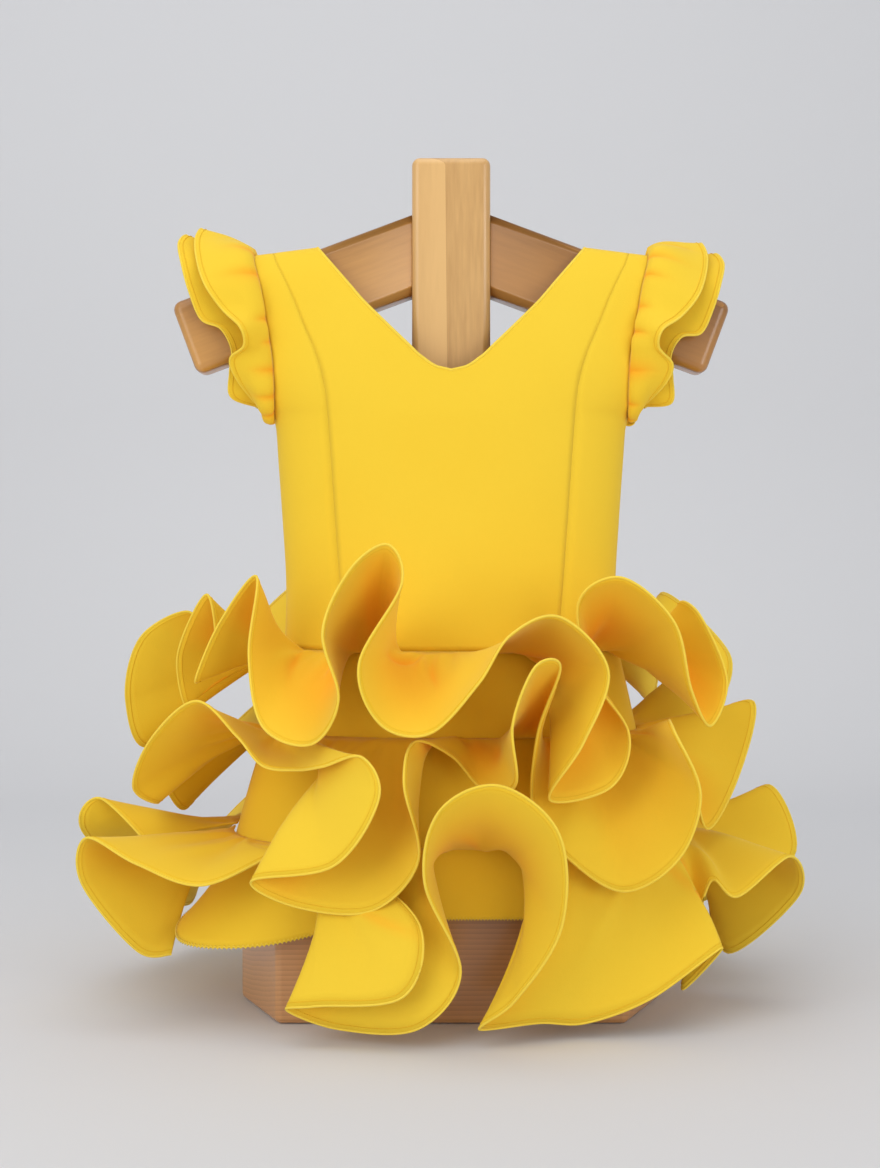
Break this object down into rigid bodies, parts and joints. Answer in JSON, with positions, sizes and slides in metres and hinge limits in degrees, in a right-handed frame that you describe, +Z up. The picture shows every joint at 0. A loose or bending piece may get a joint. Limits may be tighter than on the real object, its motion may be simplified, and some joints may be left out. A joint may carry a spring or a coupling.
{
  "type": "flamenco dress on wooden display stand",
  "caption": "Sleeveless flamenco dress with gathered shoulder flounces and a tiered, rolling flounced skirt, worn by a plain wooden display stand.",
  "frame": {"origin": "centre of the underside of the stand's base", "axes": "+Z up along the post, -Y towards the dress's front, +X to the right as seen from the front"},
  "size_m": [0.5014, 0.4058, 0.578],
  "materials": {
    "stand_post": "clear lacquered pine",
    "stand_base": "clear lacquered pine block",
    "stand_arm_left": "clear lacquered pine",
    "stand_arm_right": "clear lacquered pine",
    "bodice_centre_front": "matte crepe",
    "bodice_side_front_left": "matte crepe",
    "bodice_side_front_right": "matte crepe",
    "bodice_side_back_left": "matte crepe",
    "bodice_side_back_right": "matte crepe",
    "bodice_back_left": "matte crepe",
    "bodice_back_right": "matte crepe",
    "sleeve_flounce_upper_left": "matte crepe",
    "sleeve_flounce_upper_right": "matte crepe",
    "sleeve_flounce_lower_left": "matte crepe",
    "sleeve_flounce_lower_right": "matte crepe",
    "underskirt": "matte crepe",
    "flounce_top": "matte crepe",
    "flounce_middle": "matte crepe",
    "flounce_bottom": "matte crepe"
  },
  "bodies": {
    "root": {"stand_post": "stand_post", "stand_base": "stand_base", "stand_arm_left": "stand_arm_left", "stand_arm_right": "stand_arm_right", "bodice_centre_front": "bodice_centre_front", "bodice_side_front_left": "bodice_side_front_left", "bodice_side_front_right": "bodice_side_front_right", "bodice_side_back_left": "bodice_side_back_left", "bodice_side_back_right": "bodice_side_back_right", "bodice_back_left": "bodice_back_left", "bodice_back_right": "bodice_back_right", "sleeve_flounce_upper_left": "sleeve_flounce_upper_left", "sleeve_flounce_upper_right": "sleeve_flounce_upper_right", "sleeve_flounce_lower_left": "sleeve_flounce_lower_left", "sleeve_flounce_lower_right": "sleeve_flounce_lower_right", "underskirt": "underskirt", "flounce_top": "flounce_top", "flounce_middle": "flounce_middle", "flounce_bottom": "flounce_bottom"}
  },
  "joints": []
}
